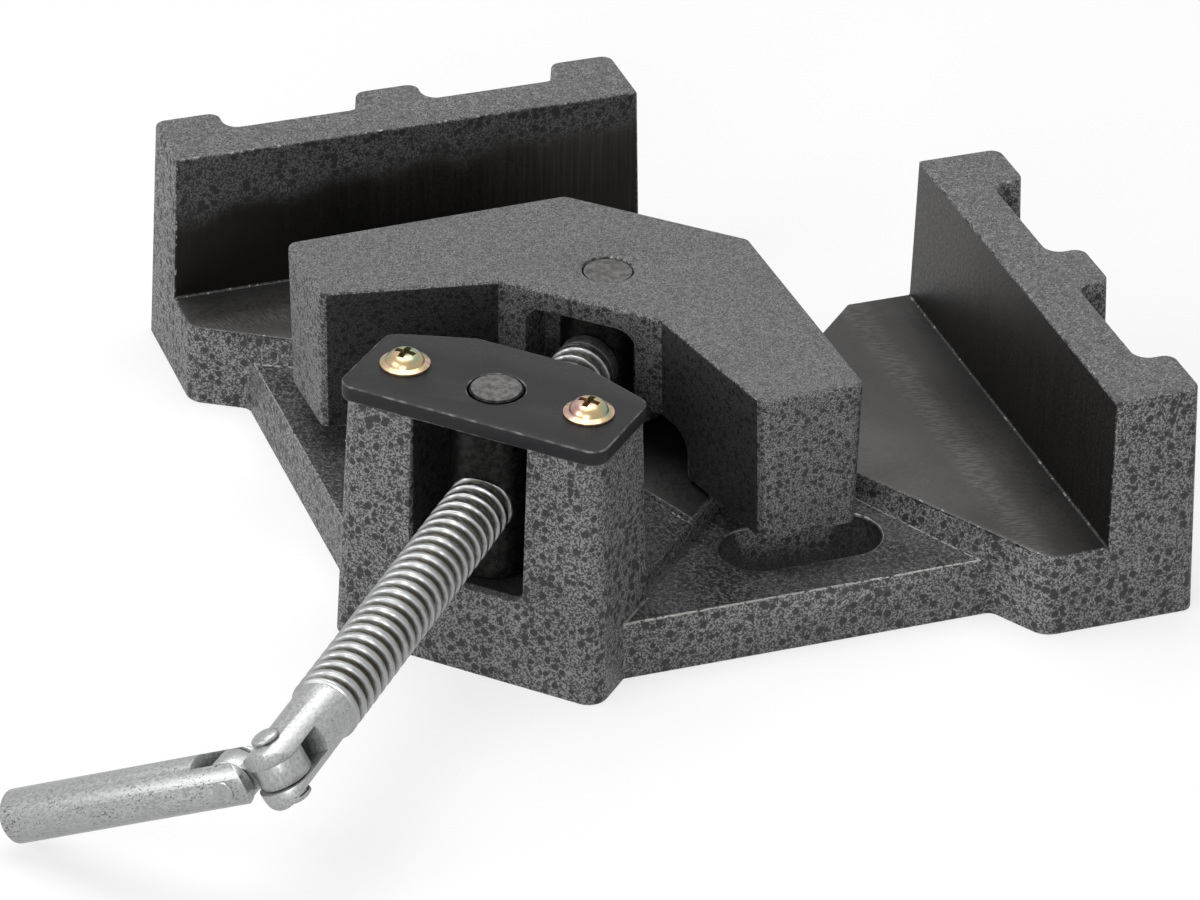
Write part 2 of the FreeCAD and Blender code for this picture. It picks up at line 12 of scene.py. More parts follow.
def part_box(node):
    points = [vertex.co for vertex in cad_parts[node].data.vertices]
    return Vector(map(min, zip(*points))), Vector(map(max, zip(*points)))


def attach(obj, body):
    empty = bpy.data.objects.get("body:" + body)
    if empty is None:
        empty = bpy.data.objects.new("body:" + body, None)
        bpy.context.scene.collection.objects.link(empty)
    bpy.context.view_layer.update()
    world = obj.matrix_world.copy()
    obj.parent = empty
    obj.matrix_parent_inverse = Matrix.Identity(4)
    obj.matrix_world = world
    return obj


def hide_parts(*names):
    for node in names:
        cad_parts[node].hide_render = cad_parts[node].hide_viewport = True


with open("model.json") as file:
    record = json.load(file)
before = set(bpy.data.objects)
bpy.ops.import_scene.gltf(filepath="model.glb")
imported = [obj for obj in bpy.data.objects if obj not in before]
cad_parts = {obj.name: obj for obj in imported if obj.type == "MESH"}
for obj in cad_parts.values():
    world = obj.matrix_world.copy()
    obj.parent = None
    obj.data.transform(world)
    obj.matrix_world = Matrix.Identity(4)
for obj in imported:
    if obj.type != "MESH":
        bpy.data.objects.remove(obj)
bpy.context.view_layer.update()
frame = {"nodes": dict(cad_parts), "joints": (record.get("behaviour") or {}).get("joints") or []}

bl_info = {
    "name": "Corner Clamp",
    "version": (1, 0, 0),
    "blender": (4, 5, 0),
    "location": "View3D > Sidebar > Corner Clamp",
    "description": "Dresses the corner clamp's frame with its paint, plating and thread",
    "category": "Add Mesh",
}

JOINTS = {joint["name"]: joint for joint in frame["joints"]}

MM = 0.001
TABLE_HEIGHT = 22 * MM  # the milled table, over the ground
CORNER = 120 * MM  # where the planes of the two walls' inner faces meet, along +Y
WELD = 0.005 * MM  # corners of a node's facets that are closer than this are one
FLAT_TURN = math.radians(0.6)  # facets that turn by less than this are one face
SHARP_TURN = math.radians(30)  # edges that turn by more than this are rounded
ROUNDING_TRIES = 12
PHOTO_WIDTH = 1200  # pixels of the whole frame


def joint_place(name):
    """A point on the joint's axis."""
    return Vector(JOINTS[name]["pos_m"])


def joint_axis(name):
    """The direction of the joint's axis."""
    return Vector(JOINTS[name]["axis"]).normalized()


# Settings a user would change


class ClampPaint(bpy.types.PropertyGroup):
    light: StringProperty(name="Paint", description="Grey skin of the hammertone paint", default="#828283")
    dark: StringProperty(name="Paint craters", description="Dark craters and lines of the paint", default="#0c0c0c")
    spot_size: FloatProperty(name="Crater spacing", description="Distance between the large dark craters",
                             default=2.1 * MM, unit="LENGTH")
    net_size: FloatProperty(name="Net size", description="Width of the curls of the net on level faces",
                            default=1.05 * MM, unit="LENGTH")
    cover: StringProperty(name="Cover plate", description="Black of the cover plate", default="#19191b")
    edge_round: FloatProperty(name="Cast edge", description="Rounding of the castings' edges",
                              default=0.5 * MM, unit="LENGTH")


class ClampPlating(bpy.types.PropertyGroup):
    table: StringProperty(name="Table", description="Colour of the milled table", default="#434241")
    wall: StringProperty(name="Walls", description="Colour of the milled walls", default="#403e3c")
    zinc: StringProperty(name="Zinc", description="Colour of the zinc plating", default="#a5a6a6")
    gold: StringProperty(name="Yellow zinc", description="Colour of the cover screws", default="#b39a75")
    steel: StringProperty(name="Steel", description="Colour of the nut and the thrust block", default="#696866")


class ClampThread(bpy.types.PropertyGroup):
    pitch: FloatProperty(name="Pitch", description="Distance between the thread's turns", default=4 * MM,
                         unit="LENGTH")
    depth: FloatProperty(name="Depth", description="Radial depth of the thread", default=1.75 * MM,
                         unit="LENGTH")
    sides: IntProperty(name="Sides", description="Facets round the thread", default=72, min=24)
    steps: IntProperty(name="Steps", description="Rows of facets in one pitch", default=18, min=8)


class ClampStage(bpy.types.PropertyGroup):
    azimuth: FloatProperty(name="Azimuth", description="Camera's turn round the clamp",
                           default=math.radians(25.45), subtype="ANGLE")
    elevation: FloatProperty(name="Elevation", description="Camera's height angle",
                             default=math.radians(31.62), subtype="ANGLE")
    roll: FloatProperty(name="Roll", description="Camera's roll", default=math.radians(1.08), subtype="ANGLE")
    distance: FloatProperty(name="Distance", description="From the camera to its target", default=1.39,
                            unit="LENGTH")
    lens: FloatProperty(name="Lens", description="Focal length in millimetres", default=163.35)


# Helpers for meshes


def piece(name, mesh, body, *replaced):
    """A visible piece that rides on a body. It takes the place of the nodes it names."""
    obj = bpy.data.objects.new(name, mesh)
    bpy.context.scene.collection.objects.link(obj)
    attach(obj, body)
    if replaced:
        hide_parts(*replaced)
    return obj


def node_copy(node):
    """The node's shape as a welded mesh with its flat facets joined."""
    bm = bmesh.new()
    bm.from_mesh(frame["nodes"][node].data)
    bmesh.ops.remove_doubles(bm, verts=bm.verts, dist=WELD)
    bmesh.ops.dissolve_limit(bm, angle_limit=FLAT_TURN, verts=bm.verts, edges=bm.edges)
    mesh = bpy.data.meshes.new(node + "_copy")
    bm.to_mesh(mesh)
    bm.free()
    return mesh


def finished(mesh, width, clamped=True):
    """The mesh with its edges rounded and its shading smooth. The attribute worn_edge marks the rounded edges. Where
    it isn't clamped, the edges keep their full width, but for the few that would fold over a small face."""
    mesh.polygons.foreach_set("use_smooth", [True] * len(mesh.polygons))
    for slot in range(2):
        mesh.materials.append(None)
    sharp = sharp_edges(mesh)
    made = rounded(mesh, width, sharp, clamped)
    for tries in range(ROUNDING_TRIES):
        folds = [] if clamped else folded_places(made)
        if not folds:
            break
        sharp = kept_edges(mesh, sharp, folds, (2 + tries) * width)
        made = rounded(mesh, width, sharp, clamped)
    worn = [float(face.material_index) for face in made.polygons]
    made.attributes.new("worn_edge", "FLOAT", "FACE").data.foreach_set("value", worn)
    made.polygons.foreach_set("material_index", [0] * len(made.polygons))
    made.materials.clear()
    return made


def sharp_edges(mesh):
    """The numbers of the edges that turn sharply."""
    bm = bmesh.new()
    bm.from_mesh(mesh)
    sharp = {edge.index for edge in bm.edges if edge.calc_face_angle(0.0) > SHARP_TURN}
    bm.free()
    return sharp


def rounded(mesh, width, sharp, clamped):
    """A copy of the mesh with the edges in sharp rounded. Their faces have the second material."""
    obj = bpy.data.objects.new("rounding", mesh.copy())
    bpy.context.scene.collection.objects.link(obj)
    weights = [float(i in sharp) for i in range(len(mesh.edges))]
    obj.data.attributes.new("bevel_weight_edge", "FLOAT", "EDGE").data.foreach_set("value", weights)
    for i in sharp_edges(mesh) - sharp:
        obj.data.edges[i].use_edge_sharp = True
    bevel = obj.modifiers.new("edges", "BEVEL")
    bevel.width = width
    bevel.segments = 2
    bevel.limit_method = "WEIGHT"
    bevel.harden_normals = True
    bevel.use_clamp_overlap = clamped
    bevel.material = 1
    return baked(obj)


def folded_places(mesh):
    """The middles of small faces that cut through a face they share no corner with."""
    bm = bmesh.new()
    bm.from_mesh(mesh)
    bm.faces.ensure_lookup_table()
    tree = BVHTree.FromBMesh(bm)
    places = []
    for first, second in tree.overlap(tree):
        pair = sorted((bm.faces[first], bm.faces[second]), key=lambda face: face.calc_area())
        if first < second and not set(pair[0].verts) & set(pair[1].verts):
            places.append(pair[0].calc_center_median())
    bm.free()
    return places


def kept_edges(mesh, sharp, folds, reach):
    """The edges in sharp without those nearest the folds: the short ones first, else the long ones."""
    spots = KDTree(len(folds))
    for i, place in enumerate(folds):
        spots.insert(place, i)
    spots.balance()
    lengths = {}
    for i in sharp:
        ends = [mesh.vertices[v].co for v in mesh.edges[i].vertices]
        length = (ends[1] - ends[0]).length
        steps = max(2, math.ceil(length / reach))
        if any(spots.find(ends[0].lerp(ends[1], step / steps))[2] < reach for step in range(steps + 1)):
            lengths[i] = length
    short = {i for i, length in lengths.items() if length < 8 * reach}
    return sharp - (short or set(lengths))


def baked(obj):
    """A plain mesh of the object with its modifiers. The object goes."""
    graph = bpy.context.evaluated_depsgraph_get()
    mesh = bpy.data.meshes.new_from_object(obj.evaluated_get(graph))
    bpy.data.objects.remove(obj, do_unlink=True)
    return mesh


# Helpers for node trees


def linear(code):
    """An sRGB hex colour as linear RGBA."""
    values = [int(code[i:i + 2], 16) / 255 for i in (1, 3, 5)]
    return tuple(v / 12.92 if v <= 0.04045 else ((v + 0.055) / 1.055) ** 2.4 for v in values) + (1.0,)


def add(tree, kind, inputs=None, **settings):
    """A node with its settings. An input that is given a socket is linked to it."""
    node = tree.nodes.new(kind)
    for name, value in settings.items():
        setattr(node, name, value)
    for key, value in (inputs or {}).items():
        if isinstance(value, bpy.types.NodeSocket):
            tree.links.new(value, node.inputs[key])
        else:
            node.inputs[key].default_value = value
    return node


def sums(tree, operation, *values):
    """The result of one Math node."""
    return add(tree, "ShaderNodeMath", dict(enumerate(values)), operation=operation).outputs[0]


def smooth_range(tree, value, low, high, out_low=0.0, out_high=1.0):
    """Out_low below low and out_high above high, with a soft step between."""
    made = add(tree, "ShaderNodeMapRange", {"Value": value, "From Min": low, "From Max": high, "To Min": out_low,
                                            "To Max": out_high}, interpolation_type="SMOOTHSTEP")
    return made.outputs["Result"]


def mixed(tree, factor, low, high):
    """The colour low where the factor is zero, and high where it is one."""
    made = add(tree, "ShaderNodeMix", {"Factor": factor}, data_type="RGBA")
    for socket, value in ((made.inputs[6], low), (made.inputs[7], high)):
        if isinstance(value, bpy.types.NodeSocket):
            tree.links.new(value, socket)
        else:
            socket.default_value = value
    return made.outputs[2]


def new_material(name):
    """A material, with its tree, its shader and a node that gives its coordinates."""
    material = bpy.data.materials.new(name)
    material.use_nodes = True
    tree = material.node_tree
    shader = tree.nodes["Principled BSDF"]
    coordinates = add(tree, "ShaderNodeTexCoord")
    return material, tree, shader, coordinates


def set_slot(obj, material):
    """Gives the piece its one material."""
    obj.data.materials.clear()
    obj.data.materials.append(material)


# Materials


def noise(tree, place, size, detail=3.0, **inputs):
    """Noise whose features are about size metres wide, from 0 to 1."""
    made = add(tree, "ShaderNodeTexNoise", {"Vector": place, "Scale": 1 / size, "Detail": detail, **inputs})
    return made.outputs["Fac"]


def scaled(code, factor):
    """An sRGB hex colour as linear RGBA, made darker or lighter."""
    return tuple(factor * v for v in linear(code)[:3]) + (1.0,)


def round_spots(tree, place, spacing, largest):
    """Round spots of mixed sizes. largest is the radius of the biggest, in spacings."""
    cells = add(tree, "ShaderNodeTexVoronoi", {"Vector": place, "Scale": 1 / spacing})
    size = add(tree, "ShaderNodeSeparateColor", {0: cells.outputs["Color"]}).outputs[0]
    radius = smooth_range(tree, size, 0.1, 0.9, 0.05, largest)
    outside = sums(tree, "SUBTRACT", cells.outputs["Distance"], radius)
    return smooth_range(tree, outside, -0.04, 0.05, 1.0, 0.0)


def hammertone(name, paint, grain=1.0, shaded=None, bare=None):
    """Stoved hammertone enamel on grey iron: a grey skin, broken into a fine dark net, with round dark craters on
    upright faces and curled lines on level ones. Rounded edges have chips of bright iron. grain scales the pattern.
    shaded gives the painted shade, which mixes the paint towards black where little light falls, and bare makes the
    faces milled after painting."""
    material, tree, shader, coordinates = new_material(name)
    place = coordinates.outputs["Object"]
    facing = add(tree, "ShaderNodeNewGeometry").outputs["True Normal"]
    normal = add(tree, "ShaderNodeSeparateXYZ", {0: facing})
    level = smooth_range(tree, normal.outputs["Z"], 0.5, 0.95)
    upright = sums(tree, "SUBTRACT", 1.0, level)
    warp = add(tree, "ShaderNodeTexNoise", {"Vector": place, "Scale": 1.2 / paint.net_size, "Detail": 2.0})
    shake = (0.8 * MM,) * 3
    push = add(tree, "ShaderNodeVectorMath", {0: warp.outputs["Color"], 1: shake}, operation="MULTIPLY")
    shaken = add(tree, "ShaderNodeVectorMath", {0: place, 1: push.outputs[0]}, operation="ADD").outputs[0]
    craters = round_spots(tree, shaken, paint.spot_size * grain, 0.5)
    net = smooth_range(tree, noise(tree, place, 0.54 * MM * grain, 2.5, Roughness=0.6, Distortion=0.5), 0.47, 0.55,
                       1.0, 0.0)
    curls = noise(tree, place, paint.net_size * grain, 2.0, Roughness=0.55, Distortion=0.8)
    line = smooth_range(tree, sums(tree, "ABSOLUTE", sums(tree, "SUBTRACT", curls, 0.5)), 0.02, 0.08, 1.0, 0.0)
    on_upright = sums(tree, "MAXIMUM", sums(tree, "MULTIPLY", craters, 0.86), sums(tree, "MULTIPLY", net, 0.8))
    on_level = sums(tree, "MAXIMUM", sums(tree, "MULTIPLY", line, 0.8),
                    sums(tree, "MAXIMUM", sums(tree, "MULTIPLY", craters, 0.5), sums(tree, "MULTIPLY", net, 0.48)))
    darkness = sums(tree, "ADD", sums(tree, "MULTIPLY", on_upright, upright),
                    sums(tree, "MULTIPLY", on_level, level))
    colour = mixed(tree, darkness, linear(paint.light), linear(paint.dark))
    depth = sums(tree, "MULTIPLY", darkness, -1.0)
    rough = sums(tree, "ADD", sums(tree, "MULTIPLY", darkness, 0.2), 0.38)
    metal = 0.0
    rubbed = 0.0
    # Painted shade: the paint is mixed towards black as much as shaded gives.
    if shaded is not None:
        shade, rubbed = shaded(tree, place, normal)
        colour = mixed(tree, shade, colour, (0.004, 0.004, 0.004, 1.0))
    if bare is not None:
        share, iron, iron_rough, iron_relief = bare(tree, place, normal)
        painted = sums(tree, "SUBTRACT", 1.0, share)
        colour = mixed(tree, share, colour, iron)
        rough = sums(tree, "ADD", sums(tree, "MULTIPLY", rough, painted), sums(tree, "MULTIPLY", iron_rough, share))
        depth = sums(tree, "ADD", sums(tree, "MULTIPLY", depth, painted), sums(tree, "MULTIPLY", iron_relief, share))
        metal = share
    edge = add(tree, "ShaderNodeAttribute", attribute_name="worn_edge").outputs["Fac"]
    worn = sums(tree, "ADD", noise(tree, place, 1.4 * MM, 4.0), sums(tree, "MULTIPLY", rubbed, 0.17))
    chips = sums(tree, "MULTIPLY", edge, smooth_range(tree, worn, 0.58, 0.64))
    colour = mixed(tree, sums(tree, "MULTIPLY", chips, 0.8), colour, linear("#8f8e8b"))
    metal = sums(tree, "MAXIMUM", chips, metal)
    bump = add(tree, "ShaderNodeBump", {"Strength": 0.55, "Distance": 0.14 * MM, "Height": depth})
    for key, value in (("Base Color", colour), ("Roughness", rough), ("Metallic", metal),
                       ("Normal", bump.outputs["Normal"])):
        tree.links.new(value, shader.inputs[key])
    shader.inputs["Specular IOR Level"].default_value = 0.22
    return material


def machined_steel(name, colour):
    """Turned steel, left bare: mottled grey on the faces that look up, and nearly black on the rest, where the dark
    is painted shade.
    """
    material, tree, shader, coordinates = new_material(name)
    place = coordinates.outputs["Object"]
    facing = add(tree, "ShaderNodeNewGeometry").outputs["True Normal"]
    end = smooth_range(tree, add(tree, "ShaderNodeSeparateXYZ", {0: facing}).outputs["Z"], 0.8, 0.95)
    patches = noise(tree, place, 1.7 * MM, 4.0)
    grain = noise(tree, place, 0.5 * MM, 3.0)
    mottle = sums(tree, "ADD", sums(tree, "MULTIPLY", patches, 0.6), sums(tree, "MULTIPLY", grain, 0.4))
    mottle = smooth_range(tree, mottle, 0.4, 0.6)
    # Painted shade: faces that don't look up get a much darker copy of the steel's colour.
    sides = mixed(tree, mottle, scaled(colour, 0.08), scaled(colour, 0.2))
    ends = mixed(tree, mottle, scaled(colour, 0.5), linear(colour))
    tree.links.new(mixed(tree, end, sides, ends), shader.inputs["Base Color"])
    tree.links.new(smooth_range(tree, grain, 0.3, 0.7, 0.42, 0.6), shader.inputs["Roughness"])
    bump = add(tree, "ShaderNodeBump", {"Strength": 0.4, "Distance": 0.05 * MM, "Height": grain})
    tree.links.new(bump.outputs["Normal"], shader.inputs["Normal"])
    shader.inputs["Metallic"].default_value = 1.0
    return material


def zinc_plate(name, plating, pitted=1.0, along=(0, 0, 1)):
    """Zinc plate on drawn steel: an even soft grey with small dark corrosion pits, in streaks along the bar."""
    material, tree, shader, coordinates = new_material(name)
    place = coordinates.outputs["Object"]
    run = add(tree, "ShaderNodeVectorMath", {0: place, 1: along}, operation="DOT_PRODUCT").outputs["Value"]
    back = add(tree, "ShaderNodeVectorMath", {0: along, 3: sums(tree, "MULTIPLY", run, 0.45)}, operation="SCALE")
    drawn = add(tree, "ShaderNodeVectorMath", {0: place, 1: back.outputs[0]}, operation="SUBTRACT").outputs[0]
    cloud = noise(tree, drawn, 5.0 * MM, 3.0)
    grain = noise(tree, drawn, 0.55 * MM, 3.0)
    pit_cells = noise(tree, drawn, 0.45 * MM, 3.0, Distortion=0.4)
    limit = smooth_range(tree, cloud, 0.35, 0.65, 0.66, 0.585)
    pits = smooth_range(tree, sums(tree, "SUBTRACT", pit_cells, limit), 0.0, 0.035)
    pits = sums(tree, "MULTIPLY", pits, pitted)
    base = mixed(tree, smooth_range(tree, grain, 0.3, 0.7), scaled(plating.zinc, 0.8), scaled(plating.zinc, 1.08))
    colour = mixed(tree, sums(tree, "MULTIPLY", pits, 0.62), base, linear("#32312e"))
    tree.links.new(colour, shader.inputs["Base Color"])
    tree.links.new(smooth_range(tree, grain, 0.3, 0.7, 0.36, 0.5), shader.inputs["Roughness"])
    height = sums(tree, "SUBTRACT", sums(tree, "MULTIPLY", grain, 0.2), pits)
    bump = add(tree, "ShaderNodeBump", {"Strength": 0.5, "Distance": 0.08 * MM, "Height": height})
    tree.links.new(bump.outputs["Normal"], shader.inputs["Normal"])
    shader.inputs["Metallic"].default_value = 1.0
    return material


def thread_steel(plating):
    """Rolled thread in plated steel: worn grey crests over roots that hold dark olive oil."""
    material, tree, shader, coordinates = new_material("oiled_thread_steel")
    place = coordinates.outputs["Object"]
    depth = add(tree, "ShaderNodeAttribute", attribute_name="thread_depth").outputs["Fac"]
    smear = noise(tree, place, 1.5 * MM, 4.0)
    streak = noise(tree, place, 9.0 * MM, 3.0)
    wander = sums(tree, "MULTIPLY", sums(tree, "SUBTRACT", sums(tree, "ADD", smear, streak), 1.0), 0.45)
    oil = smooth_range(tree, sums(tree, "ADD", depth, wander), 0.05, 0.8)
    tree.links.new(mixed(tree, oil, scaled(plating.zinc, 0.9), linear("#4b493f")), shader.inputs["Base Color"])
    tree.links.new(smooth_range(tree, smear, 0.3, 0.7, 0.3, 0.46), shader.inputs["Roughness"])
    bump = add(tree, "ShaderNodeBump", {"Strength": 0.3, "Distance": 0.05 * MM, "Height": smear})
    tree.links.new(bump.outputs["Normal"], shader.inputs["Normal"])
    shader.inputs["Metallic"].default_value = 1.0
    return material


def yellow_zinc(plating):
    """Yellow chromate on zinc: gold with faint pink and green bands where the film's thickness changes."""
    material, tree, shader, coordinates = new_material("yellow_chromate_zinc")
    place = coordinates.outputs["Object"]
    film = noise(tree, place, 5.0 * MM, 1.5)
    ramp = add(tree, "ShaderNodeValToRGB", {0: film})
    stops = ramp.color_ramp.elements
    stops[0].position = 0.34
    stops[0].color = linear("#a98581")
    stops[1].position = 0.66
    stops[1].color = linear("#8f977d")
    for position, code in ((0.45, "#c2a893"), (0.55, plating.gold)):
        stops.new(position).color = linear(code)
    tree.links.new(ramp.outputs["Color"], shader.inputs["Base Color"])
    shader.inputs["Metallic"].default_value = 1.0
    shader.inputs["Roughness"].default_value = 0.3
    return material


def black_cover(paint):
    """Black stoved enamel on steel plate: satin, rubbed grey in short lengths of its edges."""
    material, tree, shader, coordinates = new_material("black_cover_enamel")
    place = coordinates.outputs["Object"]
    edge = add(tree, "ShaderNodeAttribute", attribute_name="worn_edge").outputs["Fac"]
    rub = smooth_range(tree, noise(tree, place, 3.0 * MM, 4.0), 0.42, 0.66, 0.1, 0.75)
    fine = noise(tree, place, 0.7 * MM, 3.0)
    colour = mixed(tree, smooth_range(tree, fine, 0.3, 0.7, 0.0, 0.5), linear(paint.cover), scaled(paint.cover, 1.3))
    colour = mixed(tree, sums(tree, "MULTIPLY", edge, rub), colour, linear("#7c7c7b"))
    tree.links.new(colour, shader.inputs["Base Color"])
    tree.links.new(smooth_range(tree, fine, 0.3, 0.7, 0.46, 0.56), shader.inputs["Roughness"])
    bump = add(tree, "ShaderNodeBump", {"Strength": 0.15, "Distance": 0.03 * MM, "Height": fine})
    tree.links.new(bump.outputs["Normal"], shader.inputs["Normal"])
    shader.inputs["Specular IOR Level"].default_value = 0.22
    return material


# Castings


def from_corner(tree, x, y):
    """Plan distances from the wall's face, and along it."""
    aside = sums(tree, "ABSOLUTE", x)
    across = sums(tree, "DIVIDE", sums(tree, "SUBTRACT", CORNER, sums(tree, "ADD", aside, y)), math.sqrt(2))
    return across, sums(tree, "DIVIDE", sums(tree, "SUBTRACT", aside, y), math.sqrt(2))


def on_wall_face(tree, across, normal):
    """One on the inner faces of the two walls, and nothing elsewhere."""
    near = smooth_range(tree, sums(tree, "ABSOLUTE", across), 0.2 * MM, 0.4 * MM, 1.0, 0.0)
    return sums(tree, "MULTIPLY", near, smooth_range(tree, normal.outputs["Y"], -0.69, -0.6, 1.0, 0.0))


def within(tree, value, low, high, soft=0.3 * MM):
    """One between low and high, and nothing outside."""
    return sums(tree, "MULTIPLY", smooth_range(tree, value, low - soft, low),
                smooth_range(tree, value, high, high + soft, 1.0, 0.0))


def base_shade(tree, place, normal):
    """Painted shade on the base: dark in the tower's slot and the mounting slots' hollows, on the low floor and
    ramps, and in the band above the milled face of the left wall. More bright chips fall on the floor's rim."""
    x, y, z = add(tree, "ShaderNodeSeparateXYZ", {0: place}).outputs
    across, along = from_corner(tree, x, y)
    left = smooth_range(tree, x, -1 * MM, 1 * MM, 1.0, 0.0)
    # Painted shade on the paint left above the left wall's milled face.
    band = sums(tree, "MULTIPLY", sums(tree, "MULTIPLY", on_wall_face(tree, across, normal), left), 0.66)
    inside = smooth_range(tree, across, -2 * MM, -1 * MM)
    # Painted shade on the low floor and ramps inside the walls.
    low = sums(tree, "MULTIPLY", within(tree, z, 1 * MM, 21.6 * MM),
               smooth_range(tree, normal.outputs["Z"], 0.3, 0.6))
    low = sums(tree, "MULTIPLY", low, inside)

    # The box round the tower's slot, and the two that hold the mounting slots in the floor: painted shade in their
    # hollows.
    slot = sums(tree, "MULTIPLY", within(tree, x, -15.3 * MM, 15.3 * MM),
                sums(tree, "MULTIPLY", within(tree, y, -93.6 * MM, -61 * MM), within(tree, z, 22 * MM, 64 * MM)))
    hole = sums(tree, "MULTIPLY", within(tree, along, 53 * MM, 71.5 * MM),
                sums(tree, "MULTIPLY", within(tree, across, 44 * MM, 87 * MM), within(tree, z, 0.5 * MM, 15.2 * MM)))
    slot = sums(tree, "MAXIMUM", slot, sums(tree, "MULTIPLY", hole, 0.93))

    uneven = sums(tree, "MULTIPLY", smooth_range(tree, noise(tree, place, 20 * MM, 3.0), 0.35, 0.65, 0.7, 1.0),
                  smooth_range(tree, noise(tree, place, 0.9 * MM, 2.5), 0.42, 0.56, 0.36, 0.95))
    shade = sums(tree, "MAXIMUM", band, sums(tree, "MAXIMUM", sums(tree, "MULTIPLY", low, uneven),
                                             sums(tree, "MULTIPLY", slot, 0.9)))
    return shade, sums(tree, "MULTIPLY", within(tree, z, 14.3 * MM, 16.4 * MM), inside)


def jaw_shade(tree, place, normal):
    """Painted shade on the jaw: dark on the inner faces of its legs and on faces that look down, lighter on its back
    faces.
    """
    side = sums(tree, "SIGN", add(tree, "ShaderNodeSeparateXYZ", {0: place}).outputs["X"])
    inwards = smooth_range(tree, sums(tree, "MULTIPLY", normal.outputs["X"], side), -0.3, -0.1, 1.0, 0.0)
    inner = sums(tree, "MULTIPLY", within(tree, normal.outputs["Y"], -0.9, -0.77, 0.03), inwards)
    back = smooth_range(tree, normal.outputs["Y"], -0.97, -0.92, 1.0, 0.0)
    under = smooth_range(tree, normal.outputs["Z"], -0.9, -0.5, 1.0, 0.0)
    shade = sums(tree, "MAXIMUM", sums(tree, "MULTIPLY", inner, 0.84),
                 sums(tree, "MAXIMUM", sums(tree, "MULTIPLY", back, 0.3), sums(tree, "MULTIPLY", under, 0.7)))
    return shade, 0.0


